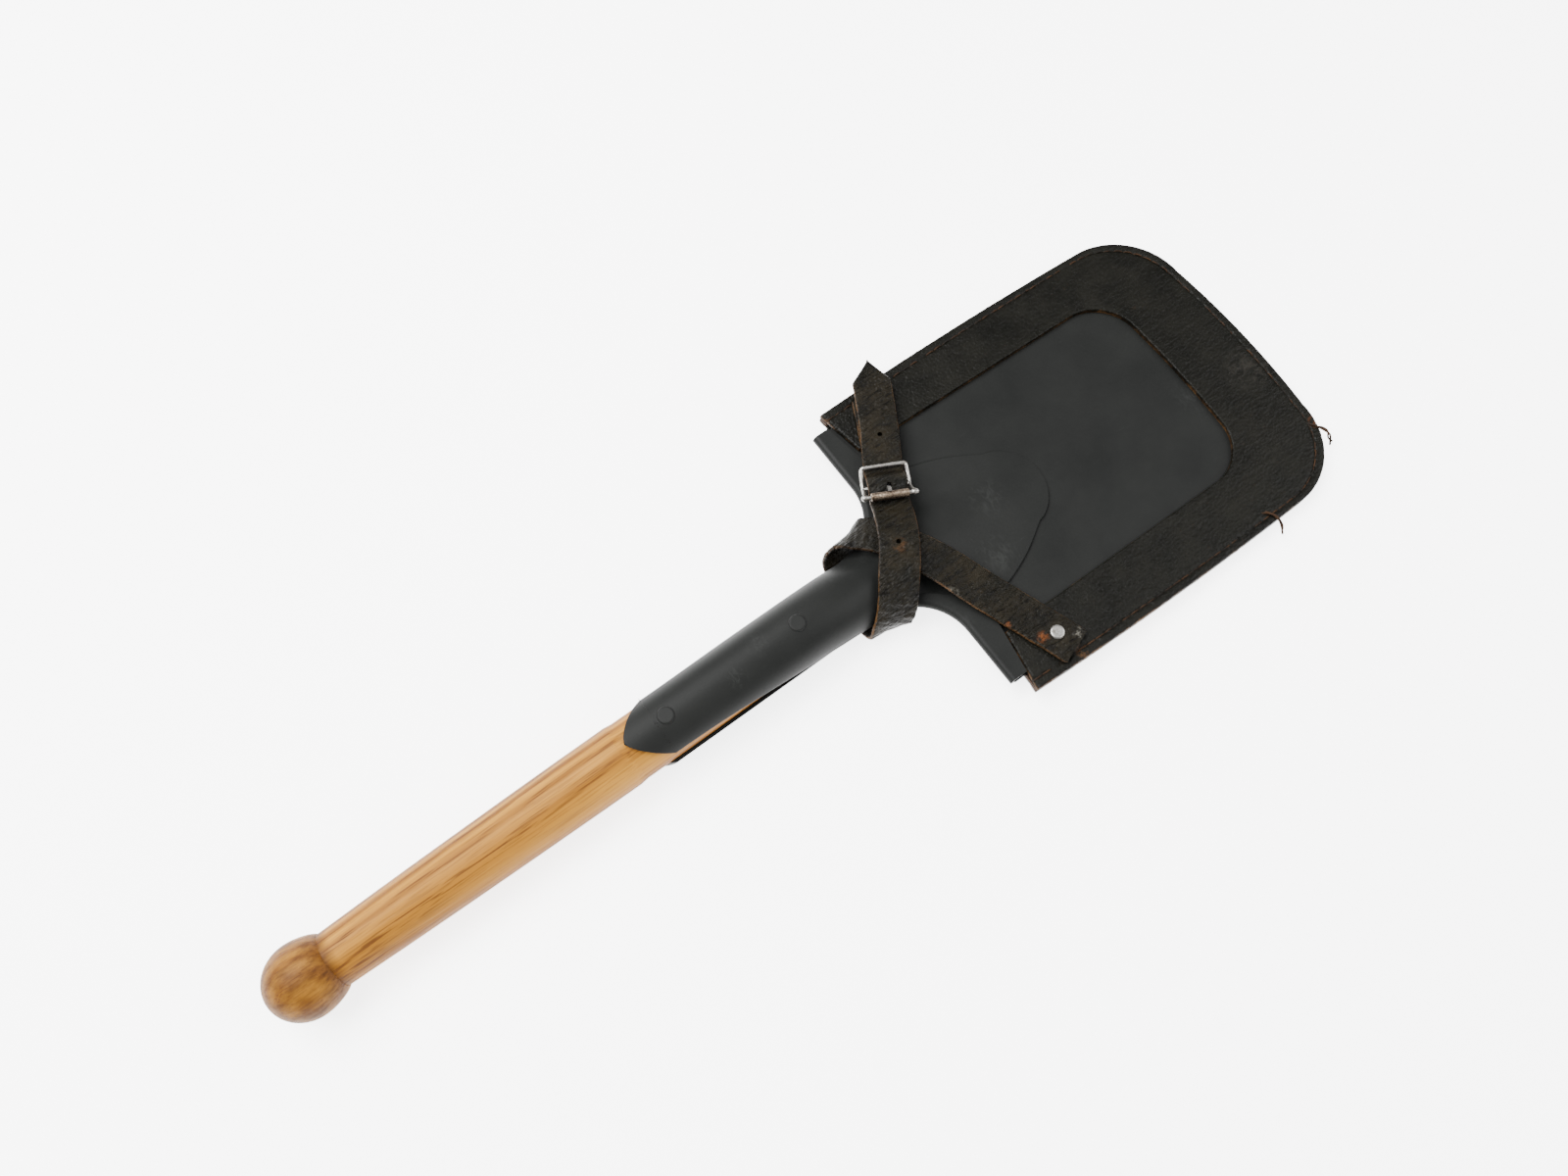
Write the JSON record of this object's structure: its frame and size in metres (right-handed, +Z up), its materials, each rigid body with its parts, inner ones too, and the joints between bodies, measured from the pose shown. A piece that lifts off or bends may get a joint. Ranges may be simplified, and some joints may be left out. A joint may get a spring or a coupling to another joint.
{
  "type": "camp shovel",
  "caption": "Short camp shovel with a turned ball-knob handle, pressed steel blade with folded treads and a leather carrying cover closed by a buckled strap.",
  "frame": {"origin": "on the table under the middle of the whole length, bottom centre of the bounding box", "axes": "+X along the handle towards the digging end, +Z up from the table out of the blade's front face, +Y to the left when looking along +X"},
  "size_m": [0.5528, 0.1822, 0.0344],
  "materials": {
    "wood": "oiled ash or oak with open grain",
    "black_steel": "satin black enamel",
    "cover_leather": "black harness leather, worn",
    "raw_leather": "raw brown cut edge",
    "strap_leather": "black strap leather, creased, brown edges",
    "thread": "waxed linen thread",
    "nickel": "nickel-plated steel, tarnished",
    "worn_brass": "worn plating, pitted and brown"
  },
  "bodies": {
    "shovel": {"handle": "wood", "blade": "black_steel", "front_strap": "black_steel", "back_strap": "black_steel", "handle_rivets": "black_steel"},
    "cover": {"cover_front_frame": "cover_leather", "cover_welt": "raw_leather", "cover_back_panel": "cover_leather", "seam_front": "thread", "seam_back": "thread", "closing_strap": "strap_leather", "strap_rivet": "nickel", "buckle_chape": "strap_leather", "chape_rivet": "nickel", "belt_loop_left": "strap_leather", "belt_loop_right": "strap_leather", "loop_rivets": "nickel"},
    "buckle": {"buckle_frame": "nickel"},
    "roller": {"buckle_roller": "worn_brass"},
    "prong": {"buckle_prong": "nickel"}
  },
  "joints": [
    {"name": "cover_slide", "type": "slide", "parent": "shovel", "child": "cover", "axis": [0.9996, 0, -0.0279], "range_m": [0, 0.26], "deforming": ["closing_strap"]},
    {"name": "buckle_hinge", "type": "hinge", "parent": "cover", "child": "buckle", "pos_m": [0.07326, 0.03275, 0.0205], "axis": [0.8903, -0.4553, -0.0008], "range_deg": [-3, 3]},
    {"name": "roller_spin", "type": "hinge", "parent": "buckle", "child": "roller", "pos_m": [0.07001, 0.02638, 0.02667], "axis": [0.8903, -0.4553, -0.0008], "continuous": true},
    {"name": "prong_hinge", "type": "hinge", "parent": "buckle", "child": "prong", "pos_m": [0.07326, 0.03275, 0.0205], "axis": [-0.8903, 0.4553, 0.0008], "range_deg": [0, 45]}
  ]
}
